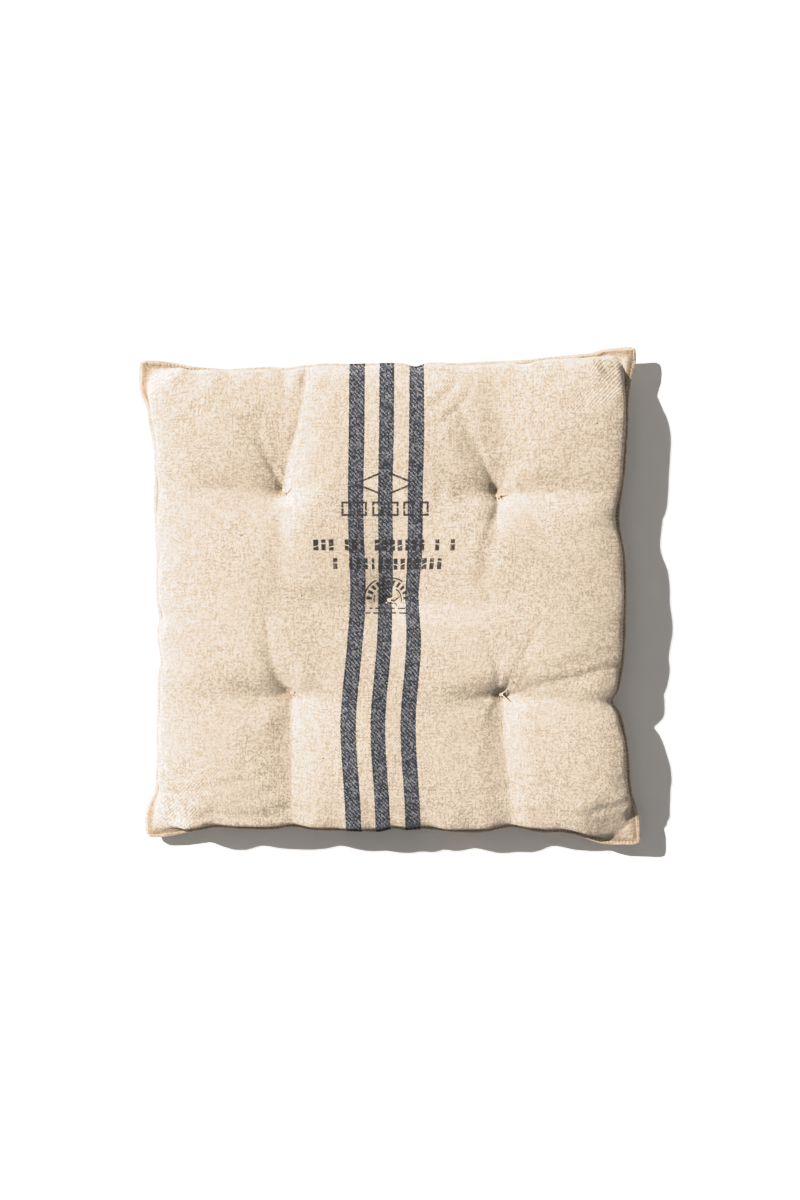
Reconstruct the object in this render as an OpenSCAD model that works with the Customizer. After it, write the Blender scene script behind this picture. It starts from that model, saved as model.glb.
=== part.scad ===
// Square tufted floor cushion. Two cloth panels meet in a narrow edge-stitched flange, three
// sheets of wadding lie between them, and five ties of doubled cord pull the faces together.
// Millimetres. +Z is up, +Y is the back edge and +X the right edge with the striped face up.
// The origin is on the floor under the middle of the cushion.

/* [Overall] */
// length of each side from corner to corner, flange included
corner_span = 460; // [450:1:480]
// span across the middle of two opposite sides, flange included
side_span = 428; // [418:1:440]
// height the filling would reach in the middle if no tie held it down
crown_h = 64; // [60:1:70]
// height of the seam line above the floor
seam_h = 27; // [25:1:30]
// how late each side flares out towards its corners
ear_power = 4; // [2:1:6]

/* [Cover] */
// thickness of the cotton twill, with the relief of its weave
cloth_t = 0.9; // [0.7:0.1:1.1]
// width of the stitched flange outside the padded body
flange_w = 4; // [3.5:0.5:6]
// thickness of one panel in the flange, with its turned-in allowance
rim_t = 1.3; // [1.2:0.1:1.6]
// how far each panel rolls away from the seam line at its outer edge
roll_open = 0.5; // [0.45:0.05:0.6]

/* [Filling] */
// how flat the middle of the upper face is, higher is flatter
top_power = 3.2; // [2.6:0.1:3.8]
// how flat the sloping border of the underside is, higher is flatter
sole_power = 2.4; // [2:0.1:3]
// steepness of both faces at the seam, lower is steeper
edge_power = 0.56; // [0.52:0.01:0.7]
// share of the body that lies flat on the floor
sole_share = 0.74; // [0.72:0.01:0.78]
// clearance between the layers inside
layer_gap = 0.15; // [0.1:0.05:0.3]

/* [Tufts] */
// distance of the four outer tufts from the middle lines
tuft_off = 96; // [90:1:102]
// height of the cloth above the floor at a tuft, upper face
tuft_top = 33; // [30:1:36]
// height of the cloth above the floor at a tuft, underside
tuft_under = 9; // [7:1:11]
// radius of the hollow around a tuft, upper face
hollow_r = 88; // [80:1:94]
// radius of the hollow around a tuft, underside
under_r = 36; // [30:1:38]
// shape of the hollows, lower is more pointed
hollow_power = 1.4; // [1.2:0.1:2]

/* [Threads] */
// diameter of the edge stitching and of the seam thread
thread_d = 0.6; // [0.5:0.05:0.7]
// diameter of the tufting cord
cord_d = 1.1; // [0.9:0.1:1.2]
// distance between the two strands of a tie
strand_gap = 3.2; // [3:0.1:3.6]
// distance of the edge stitching from the outer edge
stitch_in = 2.9; // [2.7:0.1:3]
// length of a cut cord end
tail_l = 6; // [4:0.5:8]
// wraps in each of the two hand tacks on the back edge
tack_wraps = 4; // [3:1:5]

/* [Hidden] */
$fn = 24;
corner_half = corner_span / 2;
side_half = side_span / 2;
// plan positions run from -1 to 1 between opposite outer edges
body_e = 1 - flange_w / side_half;
tuft_e = tuft_off / side_half;
sole_e = sole_share * body_e;
// cells from the middle to a tuft, on to the edge of the sole, and on to the flange
cells_tuft = 7;
cells_sole = 4;
cells_edge = 5;
// how strongly the cells bunch at the tufts
bunching = 14;
half_grid = concat([for (k = [0 : cells_tuft - 1]) ease(0, tuft_e, k / cells_tuft)],
                   [for (k = [0 : cells_sole - 1]) tuft_e + (sole_e - tuft_e) * k / cells_sole],
                   [for (k = [0 : cells_edge]) late(sole_e, body_e, k / cells_edge)]);
half_n = len(half_grid);
body_grid = concat([for (k = [half_n - 1 : -1 : 1]) -half_grid[k]], half_grid);
cover_grid = concat([-1], body_grid, [1]);
// the wadding stops two cells short of the flange
wadding_grid = [for (k = [2 : len(body_grid) - 3]) body_grid[k]];
tufts = [[0, 0], [-tuft_e, tuft_e], [tuft_e, tuft_e], [-tuft_e, -tuft_e], [tuft_e, -tuft_e]];
// the cloth is at most this much thicker than its own thickness when measured upright
lean_max = 2.6;
lean_step = 0.01;
cord_r = cord_d / 2;
thread_r = thread_d / 2;
touch = 0.05;
bore_r = cord_r + 0.2;
knot_r = 1.7;
knot_ring_r = 1.5;
knot_z = tuft_top + 2.4;
bar_z = tuft_under - cord_r - 0.3;
tail_spread = 33;
tail_lift = 22;
corner_round = 70;
stitch_sides = 6;
stitch_half = 9;
tack_from = 172;
tack_to = 191;
tack_step = 1.1;
tack_leg = 2;
cream = "#e6d6bd";
fleece = "#f2ece0";
thread_col = "#f0e8d6";

// positions gently bunched at both ends of a span
function ease(p, q, t) = p + (q - p) * (t - bunching * sin(360 * t) / 360);
// positions bunched towards the end of a span
function late(p, q, t) = p + (q - p) * sin(90 * t);

// plan coordinate of grid position a on the line at grid position b
function plan(a, b) = a * (side_half + (corner_half - side_half) * pow(abs(b), ear_power));
function spot(a, b) = [plan(a, b), plan(b, a)];
function body_share(a) = min(1, abs(a) / body_e);
function reach(a, b) = max(abs(a), abs(b));
function total(v) = v * [for (k = v) 1];

// hollow around a tuft: 1 at the tuft, 0 from radius r outwards
function hollow(p, q, r) = let (d = norm(p - q) / r) d < 1 ? pow(1 - pow(d, hollow_power), 2) : 0;

function arch(a) = pow(1 - pow(body_share(a), top_power), edge_power);
function crown_z(a, b) = seam_h + rim_t + (crown_h - seam_h - rim_t) * arch(a) * arch(b);
function top_z(a, b) = crown_z(a, b)
    - total([for (t = tufts) (crown_z(t.x, t.y) - tuft_top)
             * hollow(spot(a, b), spot(t.x, t.y), hollow_r)]);

function sole_rise(a) = max(0, body_share(a) - sole_share) / (1 - sole_share);
function sole(a) = pow(1 - pow(min(1, sole_rise(a)), sole_power), edge_power);
function under_z(a, b) = (seam_h - rim_t) * (1 - sole(a) * sole(b))
    + total([for (t = tufts) tuft_under * hollow(spot(a, b), spot(t.x, t.y), under_r)]);

// upright thickness factor of a sheet whose height changes by p and q over one step
function lean(p, q, a, b) = min(lean_max, sqrt(1 + pow(p / run(a, b), 2) + pow(q / run(b, a), 2)));
function run(a, b) = plan(a + lean_step, b) - plan(a - lean_step, b);
function top_lean(a, b) = lean(top_z(a + lean_step, b) - top_z(a - lean_step, b),
                               top_z(a, b + lean_step) - top_z(a, b - lean_step), a, b);
function under_lean(a, b) = lean(under_z(a + lean_step, b) - under_z(a - lean_step, b),
                                 under_z(a, b + lean_step) - under_z(a, b - lean_step), a, b);

// inner faces of the two panels; in the flange they meet at the seam line and roll apart outside
function in_flange(a, b) = reach(a, b) > body_e - 0.0001;
function roll(a, b) = reach(a, b) > 0.9999 ? roll_open : 0;
function top_in(a, b) = in_flange(a, b) ? seam_h + roll(a, b)
    : max(seam_h + touch, top_z(a, b) - cloth_t * top_lean(a, b));
function under_in(a, b) = in_flange(a, b) ? seam_h - roll(a, b)
    : min(seam_h - touch, under_z(a, b) + cloth_t * under_lean(a, b));

// boundary between wadding sheets, share 0 at the bottom panel and 1 at the top panel
function layer_z(a, b, share) = under_in(a, b) + (top_in(a, b) - under_in(a, b)) * share;

// closed sheet between two fields of heights over the same grid
module sheet(grid, upper, lower) {
    n = len(grid);
    last = n - 1;
    flat = [for (b = grid) for (a = grid) spot(a, b)];
    high = [for (k = [0 : n * n - 1]) [flat[k].x, flat[k].y, upper[k]]];
    low = [for (k = [0 : n * n - 1]) [flat[k].x, flat[k].y, lower[k]]];
    cells = [for (j = [0 : last - 1]) for (i = [0 : last - 1])
             [j * n + i, j * n + i + 1, (j + 1) * n + i + 1, (j + 1) * n + i,
              (i < last / 2) == (j < last / 2)]];
    up = [for (c = cells) for (f = c[4] ? [[c[0], c[2], c[1]], [c[0], c[3], c[2]]]
                                        : [[c[0], c[3], c[1]], [c[1], c[3], c[2]]]) f];
    down = [for (f = up) [f[2] + n * n, f[1] + n * n, f[0] + n * n]];
    rim = concat([for (k = [0 : last - 1]) k], [for (k = [0 : last - 1]) k * n + last],
                 [for (k = [last : -1 : 1]) last * n + k], [for (k = [last : -1 : 1]) k * n]);
    m = len(rim);
    sides = [for (k = [0 : m - 1])
             for (f = [[rim[k], rim[(k + 1) % m], rim[(k + 1) % m] + n * n],
                       [rim[k], rim[(k + 1) % m] + n * n, rim[k] + n * n]]) f];
    polyhedron(points = concat(high, low), faces = concat(up, down, sides));
}

// bores for the two strands of every tie
module bores() {
    for (t = tufts) {
        for (side = [-1, 1]) {
            translate([spot(t.x, t.y).x, spot(t.x, t.y).y + side * strand_gap / 2, -1])
                cylinder(r = bore_r, h = crown_h + 2);
        }
    }
}

module top_panel() {
    color(cream)
        difference() {
            sheet(cover_grid, [for (b = cover_grid) for (a = cover_grid) top_z(a, b)],
                  [for (b = cover_grid) for (a = cover_grid) top_in(a, b)]);
            bores();
        }
}

module bottom_panel() {
    color(cream)
        difference() {
            sheet(cover_grid, [for (b = cover_grid) for (a = cover_grid) under_in(a, b)],
                  [for (b = cover_grid) for (a = cover_grid) under_z(a, b)]);
            bores();
        }
}

// one wadding sheet between two shares of the inner height
module wadding(from_share, to_share) {
    color(fleece)
        difference() {
            sheet(wadding_grid,
                  [for (b = wadding_grid) for (a = wadding_grid) layer_z(a, b, to_share) - layer_gap],
                  [for (b = wadding_grid) for (a = wadding_grid) layer_z(a, b, from_share) + layer_gap]);
            bores();
        }
}

module bottom_wadding() {
    wadding(0, 1 / 3);
}

module middle_wadding() {
    wadding(1 / 3, 2 / 3);
}

module top_wadding() {
    wadding(2 / 3, 1);
}

// point on a run that follows the edge at grid position e, along side k at share s
function along(e, k, s) = let (q = e / pow(1 + pow(abs(s), corner_round), 1 / corner_round))
    k == 0 ? spot(q, q * s) : k == 1 ? spot(-q * s, q) : k == 2 ? spot(-q, -q * s) : spot(q * s, -q);

// closed run of thread around the cushion, a distance inside the outer edge
module edge_run(inset, z, r) {
    e = 1 - inset / side_half;
    path = [for (k = [0 : 3]) for (s = [-stitch_half : stitch_half - 1])
            along(e, k, sin(90 * s / stitch_half))];
    n = len(path);
    m = stitch_sides;
    ways = [for (i = [0 : n - 1]) let (d = path[(i + 1) % n] - path[(i + n - 1) % n]) d / norm(d)];
    skin = [for (i = [0 : n - 1]) for (k = [0 : m - 1])
            [path[i].x + r * cos(360 * k / m) * ways[i].y,
             path[i].y - r * cos(360 * k / m) * ways[i].x,
             z + r * sin(360 * k / m)]];
    faces = [for (i = [0 : n - 1]) for (k = [0 : m - 1])
             let (a = i * m + k, b = i * m + (k + 1) % m,
                  c = ((i + 1) % n) * m + (k + 1) % m, d = ((i + 1) % n) * m + k)
             for (f = [[a, b, c], [a, c, d]]) f];
    color(thread_col)
        polyhedron(points = skin, faces = faces);
}

module needle_thread() {
    edge_run(stitch_in, seam_h + rim_t + thread_r + touch, thread_r);
}

module bobbin_thread() {
    edge_run(stitch_in, seam_h - rim_t - thread_r - touch, thread_r);
}

// the hidden seam runs in the groove between the two rolled edges
module assembly_seam_thread() {
    edge_run(thread_d, seam_h, thread_r - touch);
}

// one wrap of a hand tack around the flange, at plan coordinate x on the back edge
module wrap(x) {
    a = x / corner_half;
    slope = atan2(plan(1, a + lean_step) - plan(1, a - lean_step), run(a, 1));
    wrap_r = rim_t + thread_r + touch;
    translate([plan(a, 1), plan(1, a) + touch, seam_h])
        rotate([0, 0, slope])
            rotate([90, 0, 90]) {
                rotate([0, 0, -90])
                    rotate_extrude(angle = 180)
                        translate([wrap_r, 0])
                            circle(r = thread_r);
                for (side = [-1, 1]) {
                    translate([0, side * wrap_r, 0])
                        rotate([0, -90, 0])
                            cylinder(r = thread_r, h = tack_leg);
                }
            }
}

module closing_stitches() {
    color(thread_col)
        for (start = [tack_from, tack_to]) {
            for (k = [0 : tack_wraps - 1]) {
                wrap(start + k * tack_step);
            }
        }
}

// cord with round ends from point p, along a direction turned by spin and raised by lift
module cord(p, spin, lift, l) {
    translate(p)
        rotate([0, 90 - lift, spin]) {
            cylinder(r = cord_r, h = l);
            sphere(r = cord_r);
            translate([0, 0, l])
                sphere(r = cord_r);
        }
}

// doubled cord through the cushion, barred underneath and knotted on top with two cut ends
module tuft_tie(t) {
    half_gap = strand_gap / 2;
    color(thread_col)
        translate([spot(t.x, t.y).x, spot(t.x, t.y).y, 0])
            union() {
                for (side = [-1, 1]) {
                    cord([0, side * half_gap, bar_z], 0, 90, knot_z - bar_z);
                    cord([knot_r / 2, side * cord_r, knot_z], side * tail_spread, tail_lift,
                         tail_l + side);
                }
                cord([0, -half_gap, bar_z], 90, 0, strand_gap);
                translate([0, 0, knot_z])
                    sphere(r = knot_r);
                translate([0, 0, knot_z])
                    rotate_extrude()
                        translate([knot_ring_r, 0])
                            circle(r = cord_r);
            }
}

module tuft_tie_centre() {
    tuft_tie(tufts[0]);
}

module tuft_tie_back_left() {
    tuft_tie(tufts[1]);
}

module tuft_tie_back_right() {
    tuft_tie(tufts[2]);
}

module tuft_tie_front_left() {
    tuft_tie(tufts[3]);
}

module tuft_tie_front_right() {
    tuft_tie(tufts[4]);
}

top_panel();
bottom_panel();
top_wadding();
middle_wadding();
bottom_wadding();
needle_thread();
bobbin_thread();
assembly_seam_thread();
closing_stitches();
tuft_tie_centre();
tuft_tie_back_left();
tuft_tie_back_right();
tuft_tie_front_left();
tuft_tie_front_right();
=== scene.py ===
import math

import bpy
import numpy as np
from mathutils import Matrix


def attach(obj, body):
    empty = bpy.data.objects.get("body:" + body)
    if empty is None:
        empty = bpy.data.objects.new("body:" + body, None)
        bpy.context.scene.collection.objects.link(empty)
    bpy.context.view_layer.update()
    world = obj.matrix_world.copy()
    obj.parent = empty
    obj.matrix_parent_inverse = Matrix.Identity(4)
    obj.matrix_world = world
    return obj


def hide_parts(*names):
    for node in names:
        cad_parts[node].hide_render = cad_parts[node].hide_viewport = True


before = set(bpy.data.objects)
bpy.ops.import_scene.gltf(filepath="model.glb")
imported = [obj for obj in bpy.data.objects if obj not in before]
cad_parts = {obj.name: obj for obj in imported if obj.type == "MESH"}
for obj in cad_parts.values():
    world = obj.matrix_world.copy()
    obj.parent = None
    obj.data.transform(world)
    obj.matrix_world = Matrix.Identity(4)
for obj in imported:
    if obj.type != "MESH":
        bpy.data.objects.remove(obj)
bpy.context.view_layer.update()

# Lengths are in millimetres until a mesh is made. Cut coordinates (u, v) are places on the flat
# cloth before it was sewn, with the origin at its middle, u to the right and v to the back.
MM = 0.001
SEED = 7

BODY = 227.0        # half the cut between the edge stitching
RIM = 4.0           # width of the stitched flange
CUT = BODY + RIM
CLOTH = 0.9         # cloth thickness
FLANGE_PLY = 1.3    # half the thickness of the flange
FLOOR_GAP = 0.03

# where each tie comes up through the cloth, and where the cord holds that place in the cushion
TIES = {
    "centre": ((0, 0), (-1, -2.5)),
    "back_left": ((-101, 101), (-96, 95)),
    "back_right": ((102, 99), (99, 91.5)),
    "front_left": ((-93, -92), (-90, -88)),
    "front_right": ((102, -92), (101, -89)),
}
TIE_LENGTH = 34.0   # inner length of a tie
FILL = 68.0         # free height of the wadding
FILL_EDGE = 24.0    # width of the rounded border of the wadding
FILL_CORNER = 58.0  # corner radius of the wadding
START_SHARE = 0.985  # size of the cloth at the start, as a share of its cut
START_HEIGHT = 27
ROW = 98            # distance of the rows of ties from the middle
TOP_SWELL, UNDER_SWELL = 7.4, 1.0   # how far the walls of each panel swell out
DROOP = 7.5         # how far the front left corner hangs down
CORD_RADIUS = 0.48
TACK_INSETS = (3.6, 2.9, 1.9, 0.9, 0.2)     # from the foot of a hand tack to the edge

# where the two clusters of hand tacks start along the back edge
TACKS = (176.0, 195.5)

CAMERA = (0.009, -0.0025, 3.1)  # in metres
SUN_POWER = 7.0
SUN_TURN = (0, math.radians(-52), math.radians(-28))
SKY_POWER = 0.265
FLOOR_HALF = 14.0   # half the floor's side, in metres
# scene brightness and the brightness shown for it
TONE = ((0.0, 0.0), (0.12, 0.112), (0.25, 0.255), (0.4, 0.46), (0.5, 0.60), (0.6, 0.735), (0.7, 0.822),
        (0.8, 0.866), (0.95, 0.897), (1.08, 0.928), (1.2, 1.0), (2.0, 1.0))


# ---- camera and light

def new_object(name, data):
    ob = bpy.data.objects.new(name, data)
    bpy.context.scene.collection.objects.link(ob)
    return ob


def add_camera():
    data = bpy.data.cameras.new("camera")
    data.lens = 100
    data.sensor_width = 36
    ob = new_object("camera", data)
    ob.location = CAMERA
    bpy.context.scene.camera = ob


def add_lights():
    sun = bpy.data.lights.new("key", "SUN")
    sun.energy = SUN_POWER
    sun.angle = math.radians(2.0)
    sun.color = (1.0, 0.985, 0.96)
    new_object("key", sun).rotation_euler = SUN_TURN
    world = bpy.data.worlds.new("studio")
    world.use_nodes = True
    back = world.node_tree.nodes["Background"]
    back.inputs["Color"].default_value = (1.0, 0.985, 0.965, 1)
    back.inputs["Strength"].default_value = SKY_POWER
    bpy.context.scene.world = world
    soften_highlights()


def soften_highlights():
    """Tone curve that keeps sunlit cloth below white while the floor reaches it."""
    view = bpy.context.scene.view_settings
    view.view_transform = "Standard"
    view.use_curve_mapping = True
    mapping = view.curve_mapping
    mapping.clip_max_x = 2.0
    mapping.tone = "FILMLIKE"
    curve = mapping.curves[3]
    curve.points[0].location, curve.points[-1].location = TONE[0], TONE[-1]
    for x, y in TONE[1:-1]:
        curve.points.new(x, y)
    for point in curve.points:
        point.handle_type = "AUTO_CLAMPED"
    mapping.update()


# ---- cloth simulation

class Grid:
    """Square grid of cut coordinates, the same for both panels, with its springs."""

    def __init__(self, cell):
        count = int(round(2 * BODY / cell))
        self.line = np.concatenate([[-CUT], np.linspace(-BODY, BODY, count + 1), [CUT]])
        self.n = len(self.line)
        self.cell = 2 * BODY / count
        self.u, self.v = np.meshgrid(self.line, self.line, indexing="ij")
        self.springs = []
        for axis in (1, 2):
            for first in (0, 1):
                self.springs.append(self.row(axis, first, 2, 1) + (1.0, 0.15))
        self.diagonals(0.12)
        for axis in (1, 2):
            for first in range(4):
                self.springs.append(self.row(axis, first, 4, 2) + (0.0, 0.06))
        self.rim_springs = []
        for span in (2, 4):
            for first in range(2 * span):
                for axis in (1, 2):
                    for rows in (slice(0, 2), slice(self.n - 2, self.n)):
                        a, b, rest = self.row(axis, first, 2 * span, span)
                        a, b = list(a), list(b)
                        a[3 - axis] = b[3 - axis] = rows
                        self.rim_springs.append((tuple(a), tuple(b), rest, 0.0, 0.7))

    def row(self, axis, first, step, span):
        """Every step-th spring of one direction that spans so many cells, and its rest length."""
        count = (self.n - span - first + step - 1) // step
        a, b, shape = [slice(None)] * 3, [slice(None)] * 3, [1, 1, 1]
        a[axis] = slice(first, first + count * step, step)
        b[axis] = slice(first + span, first + span + count * step, step)
        rest = self.line[b[axis]] - self.line[a[axis]]
        shape[axis] = len(rest)
        return tuple(a), tuple(b), rest.reshape(shape)

    def diagonals(self, stiffness):
        gaps = np.diff(self.line)
        for first in (0, 1):
            count = (self.n - first) // 2
            a, b = slice(first, first + count * 2, 2), slice(first + 1, first + 1 + count * 2, 2)
            rest = np.sqrt((self.line[b] - self.line[a])[:, None] ** 2 + gaps[None, :] ** 2)[None]
            left, right = slice(0, self.n - 1), slice(1, self.n)
            for c, d in ((left, right), (right, left)):
                self.springs.append((np.s_[:, a, c], np.s_[:, b, d], rest, stiffness, stiffness))

    def nearest(self, spot):
        return tuple(int(np.argmin(abs(self.line - c))) for c in spot)


def relax(p, springs):
    """Moves both ends of each spring towards its rest length, by one share for pull and one for push."""
    for a, b, rest, pull, push in springs:
        d = p[b] - p[a]
        length = np.sqrt(np.einsum("...k,...k->...", d, d)) + 1e-9
        share = (length - rest) / length
        share *= np.where(share > 0, pull, push) * 0.5
        d *= share[..., None]
        p[a] += d
        p[b] -= d


def bell(x, at, width):
    return np.exp(-((x - at) / width) ** 2)


def ripple(along, rng, low, high, count, shift=0.0):
    """Sum of sine waves of random length and start."""
    return sum(np.sin(2 * np.pi * along / rng.uniform(low, high) + rng.uniform(0, 6.28) + shift)
               for _ in range(count))


def waves(u, v, rng, low, high, count):
    """Lumpy field of plane waves in random directions."""
    total = np.zeros_like(u)
    for _ in range(count):
        turn, shift, size = rng.uniform(0, 2 * np.pi), rng.uniform(0, 2 * np.pi), rng.uniform(low, high)
        total += np.sin(2 * np.pi * (u * math.cos(turn) + v * math.sin(turn)) / size + shift)
    return total / math.sqrt(count)


def fill_height(u, v):
    """Free height of the wadding: full inside, round at the border, thinner along the tie rows."""
    corner_u, corner_v = (np.clip(abs(c) - BODY + FILL_CORNER, 0, None) for c in (u, v))
    inside = np.clip((FILL_CORNER - np.hypot(corner_u, corner_v)) / FILL_EDGE, 0, 1)
    height = FILL * np.sqrt(1 - (1 - inside) ** 2)
    rows = np.zeros_like(u)
    for across, along in ((u, v), (v, u)):
        for at in (-ROW, ROW):
            reach = 0.35 + 0.65 * np.clip((abs(along) - 60) / 60, 0, 1)
            rows = np.maximum(rows, bell(across, at, 13) * reach)
    lumps = waves(u, v, np.random.default_rng(3), 60, 130, 8)
    return np.maximum(height * (1 - 0.27 * rows) * (1 + 0.045 * lumps), 0.5)


def resample(old, new, p):
    """Both panels carried from one grid to a finer one."""
    i = np.clip(np.searchsorted(old.line, new.line, side="right") - 1, 0, old.n - 2)
    t = (new.line - old.line[i]) / (old.line[i + 1] - old.line[i])
    q = p[:, i] * (1 - t)[None, :, None, None] + p[:, i + 1] * t[None, :, None, None]
    return q[:, :, i] * (1 - t)[None, None, :, None] + q[:, :, i + 1] * t[None, None, :, None]


def simulate():
    """Two flat panels joined at the flange, filled with wadding and pulled in by the ties."""
    rng = np.random.default_rng(SEED)
    edges = [np.s_[:2, :], np.s_[-2:, :], np.s_[:, :2], np.s_[:, -2:]]
    floor = CLOTH + FLOOR_GAP
    p = grid = None
    for cell, steps, sweeps in ((10.0, 200, 9), (5.0, 90, 10)):
        old, grid = grid, Grid(cell)
        height = fill_height(grid.u, grid.v)
        if p is None:
            dome = (1 - (grid.u / CUT) ** 4) * (1 - (grid.v / CUT) ** 4)
            uneven = waves(grid.u, grid.v, rng, 40, 150, 14)
            p = np.zeros((2, grid.n, grid.n, 3))
            p[..., 0], p[..., 1] = grid.u * START_SHARE, grid.v * START_SHARE
            p[0, ..., 2] = START_HEIGHT + (12 + uneven) * dome
            p[1, ..., 2] = START_HEIGHT - (12 + uneven[::-1]) * dome
        else:
            p = resample(old, grid, p)
        speed = np.zeros_like(p)
        fine = (cell / 10) ** 2
        for step in range(steps):
            ramp = min(1.0, step / (0.4 * steps)) if old is None else 1.0
            along_u, along_v = np.zeros_like(p), np.zeros_like(p)
            along_u[:, 1:-1] = (p[:, 2:] - p[:, :-2]) / 2
            along_v[:, :, 1:-1] = (p[:, :, 2:] - p[:, :, :-2]) / 2
            normal = np.cross(along_u, along_v) / grid.cell ** 2
            normal[1] *= -1
            push = 0.35 * fine * np.clip(1 - (p[0, ..., 2] - p[1, ..., 2]) / height, -0.25, 1)
            for edge in edges:
                push[edge] = 0
            speed = 0.9 * speed + normal * push[None, ..., None]
            speed[..., 2] -= 0.03 * fine * height / FILL
            before = p.copy()
            p += speed
            for _ in range(sweeps):
                relax(p, grid.springs)
                relax(p, grid.rim_springs)
                for edge in edges:
                    p[(0,) + edge] = p[(1,) + edge] = (p[(0,) + edge] + p[(1,) + edge]) / 2
                for cut, held in TIES.values():
                    i, j = grid.nearest(cut)
                    at = np.array([grid.line[i], grid.line[j]])
                    spot = (at + held - cut) * ramp + at * START_SHARE * (1 - ramp)
                    length = TIE_LENGTH * ramp + 20 * (1 - ramp)
                    middle = max(p[:, i, j, 2].mean(), 5 + length / 2)
                    p[0, i, j] = (*spot, middle + length / 2)
                    p[1, i, j] = (*spot, middle - length / 2)
                p[1, ..., 2] = np.maximum(p[1, ..., 2], floor)
                p[0, ..., 2] = np.maximum(p[0, ..., 2], p[1, ..., 2] + np.where(height > 2, 1.8, 0))
            speed = p - before
    return grid, p


# ---- fine surface

EDGE_LINES = (0, 0.4, 1.0, 1.8, 2.8, 4.0, 5.2, 6.6, 8.6)
inner_edge = CUT - EDGE_LINES[-1]
side_lines = np.array([CUT - d for d in EDGE_LINES])
FINE = np.concatenate([-side_lines, np.linspace(-inner_edge, inner_edge, 199)[1:-1], side_lines[::-1]])
U, V = np.meshgrid(FINE, FINE, indexing="ij")
FROM_EDGE = CUT - np.maximum(abs(U), abs(V))


def spline_weights(knots, at):
    """Weights of a natural cubic spline through the body's knots, and straight across the flange."""
    inner = knots[1:-1]
    n, h = len(inner), np.diff(inner)
    system, right = np.eye(n), np.zeros((n, n))
    for k in range(1, n - 1):
        system[k, k - 1], system[k, k], system[k, k + 1] = h[k - 1], 2 * (h[k - 1] + h[k]), h[k]
        right[k, k - 1], right[k, k + 1] = 6 / h[k - 1], 6 / h[k]
        right[k, k] = -6 / h[k - 1] - 6 / h[k]
    bend = np.linalg.solve(system, right)
    weights = np.zeros((len(at), len(knots)))
    for row, x in enumerate(at):
        if abs(x) > inner[-1]:
            k = 0 if x < 0 else len(knots) - 2
            t = (x - knots[k]) / (knots[k + 1] - knots[k])
            weights[row, k], weights[row, k + 1] = 1 - t, t
            continue
        k = int(np.clip(np.searchsorted(inner, x) - 1, 0, n - 2))
        b = (x - inner[k]) / h[k]
        a = 1 - b
        curve = ((a ** 3 - a) * bend[k] + (b ** 3 - b) * bend[k + 1]) * h[k] ** 2 / 6
        weights[row, 1:-1] = curve
        weights[row, 1 + k] += a
        weights[row, 2 + k] += b
    return weights


def soft_step(x, low, high):
    t = np.clip((x - low) / (high - low), 0, 1)
    return t * t * (3 - 2 * t)


def near_path(points):
    """Distance of every surface point from a path, and the share of the path passed there."""
    points = [np.array(p, float) for p in points]
    lengths = [np.linalg.norm(b - a) for a, b in zip(points, points[1:])]
    best, share, passed = np.full(U.shape, 1e9), np.zeros(U.shape), 0.0
    for a, b, length in zip(points, points[1:], lengths):
        du, dv = b - a
        t = np.clip(((U - a[0]) * du + (V - a[1]) * dv) / length ** 2, 0, 1)
        d = np.hypot(U - a[0] - t * du, V - a[1] - t * dv)
        share = np.where(d < best, (passed + t * length) / sum(lengths), share)
        best = np.minimum(best, d)
        passed += length
    return best, share


def crease(points, depth, width, start, end):
    """Valley along a path with a soft swelling on both sides, fading from start to end."""
    d, share = near_path(points)
    strength = start + (end - start) * share
    strength = strength * soft_step(share, -0.02, 0.08) * (1 - soft_step(share, 0.9, 1.0))
    swelling = 0.32 * bell(d, 2.6 * width, 1.5 * width)
    return depth * strength * (swelling - np.exp(-((d / width) ** 0.95)))


def tie_wrinkles(seed):
    """Short sharp wrinkles that fan out from each tie."""
    rng = np.random.default_rng(seed)
    total = np.zeros(U.shape)
    for cut, _ in TIES.values():
        turn = rng.uniform(0, 2 * np.pi)
        for k in range(8):
            angle, length = turn + (k + rng.uniform(-0.3, 0.3)) * np.pi / 4, rng.uniform(12, 34)
            bend = angle + rng.uniform(-0.4, 0.4)
            path = [(cut[0] + far * math.cos(way), cut[1] + far * math.sin(way))
                    for far, way in ((3, angle), (0.5 * length, angle), (length, bend))]
            total += crease(path, rng.uniform(0.7, 1.5), rng.uniform(2.2, 3.6), 1.0, 0.1)
    return total


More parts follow.
